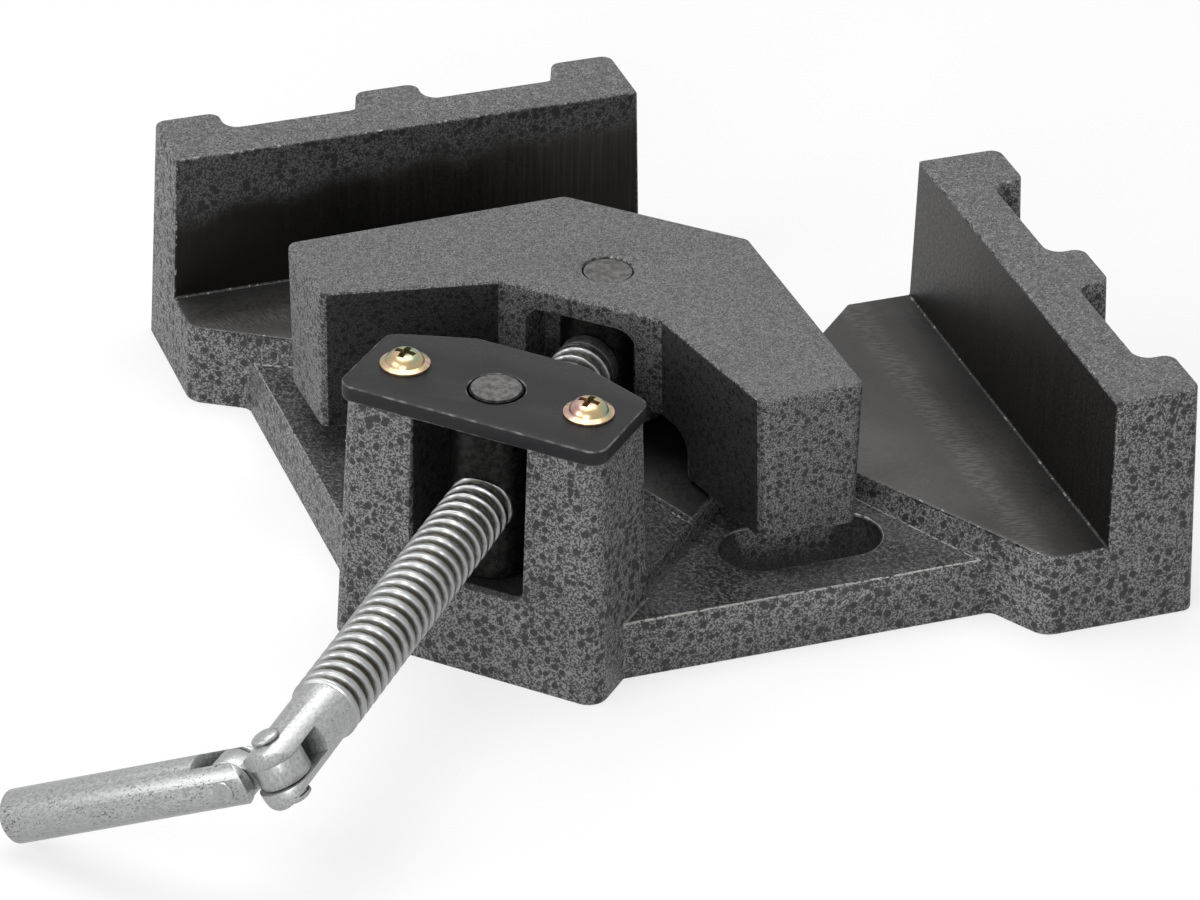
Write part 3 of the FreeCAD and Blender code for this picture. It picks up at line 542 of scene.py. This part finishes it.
def machined_faces(tree, place, normal):
    """The table and the walls' inner faces, which are milled after painting. Gives their share, colour, roughness
    and relief."""
    plating = bpy.context.scene.clamp_plating
    x, y, z = add(tree, "ShaderNodeSeparateXYZ", {0: place}).outputs
    across, along = from_corner(tree, x, y)
    left = smooth_range(tree, x, -1 * MM, 1 * MM, 1.0, 0.0)
    ragged = sums(tree, "SUBTRACT", noise(tree, place, 16 * MM, 5.0, Roughness=0.6), 0.5)
    slope = sums(tree, "MULTIPLY", sums(tree, "SUBTRACT", along, 60 * MM), -0.07)
    dip = sums(tree, "ADD", sums(tree, "MULTIPLY", ragged, 14 * MM), sums(tree, "SUBTRACT", slope, 11 * MM))
    limit = sums(tree, "ADD", sums(tree, "MULTIPLY", left, dip), 61.3 * MM)
    fade = sums(tree, "ADD", sums(tree, "MULTIPLY", left, 8 * MM), 0.4 * MM)
    under = sums(tree, "DIVIDE", sums(tree, "SUBTRACT", limit, z), fade)
    above = smooth_range(tree, z, TABLE_HEIGHT - 0.2 * MM, TABLE_HEIGHT)
    milled_wall = sums(tree, "MULTIPLY", on_wall_face(tree, across, normal),
                       sums(tree, "MULTIPLY", smooth_range(tree, under, -0.4, 0.8), above))
    height = sums(tree, "ABSOLUTE", sums(tree, "SUBTRACT", z, TABLE_HEIGHT))
    flat = sums(tree, "MULTIPLY", smooth_range(tree, height, 0.1 * MM, 0.3 * MM, 1.0, 0.0),
                smooth_range(tree, normal.outputs["Z"], 0.85, 0.95))
    share = sums(tree, "MAXIMUM", milled_wall, flat)
    slow = noise(tree, place, 26 * MM, 4.0)

    # The cutter's tracks run up the walls.
    upward = add(tree, "ShaderNodeCombineXYZ", {"X": along, "Y": sums(tree, "MULTIPLY", z, 0.03)}).outputs[0]
    tracks = noise(tree, upward, 0.9 * MM, 3.0)
    # Painted shade: the walls get darker towards their foot and their outer ends, and the whole left wall darker
    # still; the slow noise and the tracks are tone.
    wall_tone_and_shade = sums(tree, "ADD", sums(tree, "MULTIPLY", smooth_range(tree, z, TABLE_HEIGHT, 60 * MM), 0.35),
                      sums(tree, "MULTIPLY", slow, 0.6))
    wall_tone_and_shade = sums(tree, "ADD", wall_tone_and_shade, sums(tree, "MULTIPLY", sums(tree, "SUBTRACT", tracks, 0.5), 0.7))
    wall_tone_and_shade = sums(tree, "ADD", wall_tone_and_shade, smooth_range(tree, along, -10 * MM, 90 * MM, 0.3, 0.0))
    wall_tone_and_shade = sums(tree, "SUBTRACT", wall_tone_and_shade, sums(tree, "MULTIPLY", left, 0.35))
    wall_iron = mixed(tree, smooth_range(tree, wall_tone_and_shade, 0.0, 1.2), scaled(plating.wall, 0.4),
                      scaled(plating.wall, 1.3))

    # They run across the strip of the table beside them.
    slanted = sums(tree, "ADD", along, sums(tree, "MULTIPLY", across, 0.25))
    crosswise = add(tree, "ShaderNodeCombineXYZ", {"X": slanted, "Y": sums(tree, "MULTIPLY", across, 0.2)}).outputs[0]
    marks = smooth_range(tree, noise(tree, crosswise, 0.6 * MM, 3.0), 0.4, 0.62)
    strip = sums(tree, "MULTIPLY", smooth_range(tree, across, 9 * MM, 17 * MM),
                 smooth_range(tree, across, 18 * MM, 23 * MM, 1.0, 0.0))
    # Painted shade darkens the table by the wall's foot. The strip 9 to 23 mm off the wall is milled apart, and its
    # lighter colour is a painted highlight, broken by the cutter's marks.
    table_tone_shade_and_highlight = sums(tree, "ADD", smooth_range(tree, across, 1 * MM, 9 * MM, 0.0, 0.18),
                       smooth_range(tree, across, 18 * MM, 23 * MM, 0.0, 0.14))
    table_tone_shade_and_highlight = sums(tree, "ADD", table_tone_shade_and_highlight, sums(tree, "MULTIPLY", slow, 0.5))
    strip_finish_and_highlight = sums(tree, "MULTIPLY", strip, sums(tree, "ADD", sums(tree, "MULTIPLY", marks, slow), 0.12))
    table_tone_shade_and_highlight = sums(tree, "ADD", table_tone_shade_and_highlight, sums(tree, "MULTIPLY", strip_finish_and_highlight, 0.75))
    table_iron = mixed(tree, smooth_range(tree, table_tone_shade_and_highlight, 0.0, 1.1), scaled(plating.table, 0.4),
                       scaled(plating.table, 1.6))
    fine = noise(tree, place, 0.8 * MM, 2.0)
    rough = smooth_range(tree, fine, 0.3, 0.7, 0.44, 0.56)
    relief = sums(tree, "MULTIPLY", sums(tree, "ADD", fine, tracks), 0.06)
    return share, mixed(tree, flat, wall_iron, table_iron), rough, relief


class CLAMP_OT_castings(bpy.types.Operator):
    """Paint the base casting and the moving jaw"""
    bl_idname = "clamp.castings"
    bl_label = "Castings"

    def execute(self, context):
        paint = context.scene.clamp_paint
        base = piece("base_casting_painted", finished(node_copy("base_casting"), paint.edge_round, False), "base",
                     "base_casting")
        set_slot(base, hammertone("hammertone_enamel_base", paint, 1.0, base_shade, machined_faces))
        jaw = piece("moving_jaw_painted", finished(node_copy("moving_jaw"), paint.edge_round, False), "jaw",
                    "moving_jaw")
        set_slot(jaw, hammertone("hammertone_enamel_jaw", paint, 0.72, jaw_shade))
        return {"FINISHED"}


# Cover plate and screws


class CLAMP_OT_cover(bpy.types.Operator):
    """Finish the cover plate and its screws"""
    bl_idname = "clamp.cover"
    bl_label = "Cover plate and screws"

    def execute(self, context):
        paint = context.scene.clamp_paint
        plate = piece("nut_cover_enamelled", finished(node_copy("nut_cover_plate"), 0.5 * MM), "base",
                      "nut_cover_plate")
        set_slot(plate, black_cover(paint))
        gold = yellow_zinc(context.scene.clamp_plating)
        for side in ("left", "right"):
            node = "cover_screw_" + side
            screw = piece(node + "_plated", finished(node_copy(node), 0.25 * MM), "base", node)
            set_slot(screw, gold)
        return {"FINISHED"}


# Nut and thrust block


class CLAMP_OT_nut_and_block(bpy.types.Operator):
    """Finish the trunnion nut and the thrust block with its pins and ring"""
    bl_idname = "clamp.nut_and_block"
    bl_label = "Nut and thrust block"

    def execute(self, context):
        plating = context.scene.clamp_plating
        steel = machined_steel("turned_steel", plating.steel)
        for node in ("trunnion_nut", "thrust_block", "retaining_pin_left", "retaining_pin_right", "block_circlip"):
            set_slot(frame["nodes"][node], steel)
        return {"FINISHED"}


# Screw


def thread_tree(material):
    """A node group that makes a threaded rod along Z. Its ends fade to the plain rod."""
    tree = bpy.data.node_groups.new("threaded_rod", "GeometryNodeTree")
    sockets = tree.interface
    for name, kind in (("Length", "NodeSocketFloat"), ("Crest Radius", "NodeSocketFloat"),
                       ("Depth", "NodeSocketFloat"), ("Pitch", "NodeSocketFloat"), ("Sides", "NodeSocketInt"),
                       ("Rows", "NodeSocketInt"), ("Phase", "NodeSocketFloat")):
        sockets.new_socket(name, in_out="INPUT", socket_type=kind)
    sockets.new_socket("Geometry", in_out="OUTPUT", socket_type="NodeSocketGeometry")
    given = add(tree, "NodeGroupInput").outputs
    rod = add(tree, "GeometryNodeMeshCylinder", {"Vertices": given["Sides"], "Side Segments": given["Rows"],
                                                 "Radius": 1.0, "Depth": given["Length"]}, fill_type="NGON")
    place = add(tree, "ShaderNodeSeparateXYZ", {0: add(tree, "GeometryNodeInputPosition").outputs[0]})
    x, y, z = place.outputs
    angle = sums(tree, "DIVIDE", sums(tree, "ARCTAN2", y, x), 2 * math.pi)
    turns = sums(tree, "DIVIDE", z, given["Pitch"])
    phase = sums(tree, "FRACT", sums(tree, "ADD", sums(tree, "SUBTRACT", turns, angle), given["Phase"]))
    from_crest = sums(tree, "ABSOLUTE", sums(tree, "SUBTRACT", phase, 0.5))
    tooth = smooth_range(tree, from_crest, 0.15, 0.33, 1.0, 0.0)
    to_end = sums(tree, "SUBTRACT", sums(tree, "DIVIDE", given["Length"], 2.0), sums(tree, "ABSOLUTE", z))
    fade = smooth_range(tree, to_end, 1.2 * MM, 4.0 * MM)
    groove = sums(tree, "MULTIPLY", sums(tree, "SUBTRACT", 1.0, tooth), fade)
    radius = sums(tree, "SUBTRACT", given["Crest Radius"], sums(tree, "MULTIPLY", groove, given["Depth"]))
    shrink = smooth_range(tree, to_end, 0.3 * MM, 1.0 * MM, 0.88, 1.0)
    radius = sums(tree, "MULTIPLY", radius, shrink)
    moved = add(tree, "ShaderNodeCombineXYZ", {"X": sums(tree, "MULTIPLY", x, radius),
                                               "Y": sums(tree, "MULTIPLY", y, radius), "Z": z})
    stored = add(tree, "GeometryNodeStoreNamedAttribute", {"Geometry": rod.outputs["Mesh"], "Name": "thread_depth",
                                                           "Value": groove}, data_type="FLOAT", domain="POINT")
    shaped = add(tree, "GeometryNodeSetPosition", {"Geometry": stored.outputs[0], "Position": moved.outputs[0]})
    smooth = add(tree, "GeometryNodeSetShadeSmooth", {"Geometry": shaped.outputs[0]})
    real = add(tree, "GeometryNodeRealizeInstances", {"Geometry": smooth.outputs[0]})
    dressed = add(tree, "GeometryNodeSetMaterial", {"Geometry": real.outputs[0], "Material": material})
    add(tree, "NodeGroupOutput", {"Geometry": dressed.outputs[0]})
    return tree


def grown_by(tree, **values):
    """The plain mesh that a node group makes from these inputs."""
    obj = bpy.data.objects.new("growing", bpy.data.meshes.new("growing"))
    bpy.context.scene.collection.objects.link(obj)
    modifier = obj.modifiers.new("made", "NODES")
    modifier.node_group = tree
    for item in tree.interface.items_tree:
        name = item.name.replace(" ", "_").lower()
        if item.in_out == "INPUT" and name in values:
            modifier[item.identifier] = values[name]
    return baked(obj)


def along_screw(start, mesh):
    """Lays a mesh made along Z on the screw's axis, from start metres behind the jaw's pivot."""
    away = -joint_axis("spindle_turn")
    turn = Vector((0, 0, 1)).rotation_difference(away).to_matrix().to_4x4()
    mesh.transform(Matrix.Translation(joint_place("spindle_turn") + away * start) @ turn)
    return mesh


def thread_span(node):
    """Where the thread's full radius begins and ends behind the jaw's pivot, and that radius."""
    origin = joint_place("spindle_turn")
    away = -joint_axis("spindle_turn")
    rings = []
    for vertex in frame["nodes"][node].data.vertices:
        arm = vertex.co - origin
        along = arm.dot(away)
        rings.append(((arm - away * along).length, along))
    crest = max(radius for radius, along in rings)
    full = [along for radius, along in rings if radius > crest - 0.05 * MM]
    return min(full), max(full), crest


class CLAMP_OT_screw(bpy.types.Operator):
    """Cut the thread on the screw and finish its plain ends"""
    bl_idname = "clamp.screw"
    bl_label = "Screw"
    RUNOUT = 1.0 * MM  # the thread's ends reach this far past its full turns

    def execute(self, context):
        plating = context.scene.clamp_plating
        thread = context.scene.clamp_thread
        start, end, crest = thread_span("spindle")
        start -= self.RUNOUT
        end += self.RUNOUT
        length = end - start
        rows = int(length / thread.pitch * thread.steps)
        mesh = grown_by(thread_tree(thread_steel(plating)), length=length, crest_radius=crest, depth=thread.depth,
                        pitch=thread.pitch, sides=thread.sides, rows=rows, phase=0.0)
        rod = piece("spindle_thread", along_screw((start + end) / 2, mesh), "screw")
        core = node_copy("spindle")
        self.sink_core(core, start, end, crest, thread.depth)
        ends = piece("spindle_ends", finished(core, 0.35 * MM), "screw", "spindle")
        set_slot(ends, zinc_plate("zinc_on_turned_steel", plating, 0.5, joint_axis("spindle_turn")))
        return {"FINISHED"}

    def sink_core(self, mesh, start, end, crest, depth):
        """The rod inside the thread gets thinner than the thread's root."""
        origin = joint_place("spindle_turn")
        away = -joint_axis("spindle_turn")
        for vertex in mesh.vertices:
            arm = vertex.co - origin
            along = arm.dot(away)
            side = arm - away * along
            if start + 0.5 * MM < along < end - 0.5 * MM and side.length > crest - 0.7 * MM:
                vertex.co = origin + away * along + side * ((crest - depth - 0.3 * MM) / side.length)


# Knuckle and handle


class CLAMP_OT_handle(bpy.types.Operator):
    """Finish the knuckle, its rivets and the handle"""
    bl_idname = "clamp.handle"
    bl_label = "Knuckle and handle"

    def execute(self, context):
        plating = context.scene.clamp_plating
        low, high = (Vector(corner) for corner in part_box("handle_bar"))
        pitted = zinc_plate("pitted_zinc_on_drawn_bar", plating, 1.0, (high - low).normalized())
        plain = zinc_plate("zinc_on_rivets", plating, 0.4)
        parts = (("knuckle_block", "knuckle", 0.7, plain), ("handle_bar", "handle", 0.5, pitted),
                 ("fork_rivet", "screw", 0.3, plain), ("handle_rivet", "handle", 0.15, plain))
        for node, body, width, material in parts:
            made = piece(node + "_plated", finished(node_copy(node), width * MM), body, node)
            set_slot(made, material)
        return {"FINISHED"}


# Stage


def soft_lamp(name, place, target, size, power):
    """A rectangular lamp of some watts that looks at its target."""
    light = bpy.data.lights.new(name, "AREA")
    light.shape = "RECTANGLE"
    light.size, light.size_y = size
    light.energy = power
    lamp = bpy.data.objects.new(name, light)
    bpy.context.scene.collection.objects.link(lamp)
    lamp.location = place
    lamp.rotation_euler = (Vector(target) - Vector(place)).to_track_quat("-Z", "Y").to_euler()
    return lamp


def white_where_seen(tree, shader, share):
    """Mixes white into a shader for what the camera and reflections see."""
    path = add(tree, "ShaderNodeLightPath")
    seen = sums(tree, "MAXIMUM", path.outputs["Is Camera Ray"],
                sums(tree, "MAXIMUM", path.outputs["Is Glossy Ray"], path.outputs["Is Transmission Ray"]))
    white = add(tree, "ShaderNodeEmission", {"Color": (1, 1, 1, 1), "Strength": 1.0})
    return add(tree, "ShaderNodeMixShader", {0: sums(tree, "MULTIPLY", seen, share), 1: shader,
                                             2: white.outputs[0]}).outputs[0]


class CLAMP_OT_stage(bpy.types.Operator):
    """Set the floor, the lamps and the camera"""
    bl_idname = "clamp.stage"
    bl_label = "Stage"

    def execute(self, context):
        self.floor()
        self.lamps(context)
        self.camera(context)
        context.scene.view_settings.view_transform = "Standard"
        return {"FINISHED"}

    def floor(self):
        mesh = bpy.data.meshes.new("floor")
        half = 4.0
        corners = [(-half, -half, 0), (half, -half, 0), (half, half, 0), (-half, half, 0)]
        mesh.from_pydata(corners, [], [(0, 1, 2, 3)])
        floor = bpy.data.objects.new("floor", mesh)
        bpy.context.scene.collection.objects.link(floor)
        material = bpy.data.materials.new("white_sweep")
        material.use_nodes = True
        tree = material.node_tree
        paper = tree.nodes["Principled BSDF"]
        paper.inputs["Base Color"].default_value = (0.9, 0.9, 0.9, 1)
        paper.inputs["Roughness"].default_value = 0.9
        shown = white_where_seen(tree, paper.outputs[0], 0.7)
        tree.links.new(shown, tree.nodes["Material Output"].inputs["Surface"])
        mesh.materials.append(material)

    def lamps(self, context):
        world = bpy.data.worlds.new("soft_room")
        context.scene.world = world
        world.use_nodes = True
        tree = world.node_tree
        air = tree.nodes["Background"]
        air.inputs["Color"].default_value = (1, 1, 1, 1)
        air.inputs["Strength"].default_value = 0.14
        shown = white_where_seen(tree, air.outputs[0], 1.0)
        tree.links.new(shown, tree.nodes["World Output"].inputs["Surface"])
        soft_lamp("overhead", (-0.15, 0.1, 1.3), (0, 0, 0), (1.2, 0.9), 15)
        soft_lamp("front_left", (-0.9, -1.3, 0.9), (0, 0, 0.03), (0.9, 0.7), 10)
        soft_lamp("front", (0.3, -1.6, 0.7), (0, 0, 0.03), (0.8, 0.6), 12)

    def camera(self, context):
        stage = context.scene.clamp_stage
        data = bpy.data.cameras.new("camera")
        camera = bpy.data.objects.new("camera", data)
        bpy.context.scene.collection.objects.link(camera)
        azimuth, elevation = stage.azimuth, stage.elevation
        back = Vector((math.sin(azimuth) * math.cos(elevation), -math.cos(azimuth) * math.cos(elevation),
                       math.sin(elevation)))
        right = Vector((math.cos(azimuth), math.sin(azimuth), 0))
        up = back.cross(right)
        turn = Matrix.Rotation(stage.roll, 3, "Z")
        axes = Matrix((right, up, back)).transposed() @ turn
        target = Vector((-26.9, 13.2, 0)) * MM
        camera.matrix_world = Matrix.Translation(target + back * stage.distance) @ axes.to_4x4()
        data.sensor_width = 36
        data.lens = stage.lens
        data.shift_x = 36 / PHOTO_WIDTH
        data.shift_y = -22.2 / PHOTO_WIDTH
        data.clip_end = 20
        context.scene.camera = camera


class CLAMP_PT_panel(bpy.types.Panel):
    """Lists the clamp's pieces"""
    bl_idname = "CLAMP_PT_panel"
    bl_label = "Corner Clamp"
    bl_space_type = "VIEW_3D"
    bl_region_type = "UI"
    bl_category = "Corner Clamp"

    def draw(self, context):
        for operator in OPERATORS:
            self.layout.operator(operator.bl_idname)
        for group in GROUPS:
            settings = getattr(context.scene, group)
            for name in settings.__annotations__:
                self.layout.prop(settings, name)


GROUPS = {"clamp_paint": ClampPaint, "clamp_plating": ClampPlating, "clamp_thread": ClampThread,
          "clamp_stage": ClampStage}
OPERATORS = (CLAMP_OT_castings, CLAMP_OT_cover, CLAMP_OT_nut_and_block, CLAMP_OT_screw, CLAMP_OT_handle,
             CLAMP_OT_stage)


def register():
    for kind in (*GROUPS.values(), *OPERATORS, CLAMP_PT_panel):
        bpy.utils.register_class(kind)
    for name, kind in GROUPS.items():
        setattr(bpy.types.Scene, name, PointerProperty(type=kind))


def unregister():
    for name in GROUPS:
        delattr(bpy.types.Scene, name)
    for kind in (CLAMP_PT_panel, *reversed(OPERATORS), *reversed(GROUPS.values())):
        bpy.utils.unregister_class(kind)


def main():
    register()
    bpy.ops.clamp.castings()
    bpy.ops.clamp.cover()
    bpy.ops.clamp.nut_and_block()
    bpy.ops.clamp.screw()
    bpy.ops.clamp.handle()
    bpy.ops.clamp.stage()


if __name__ == "__main__":
    main()
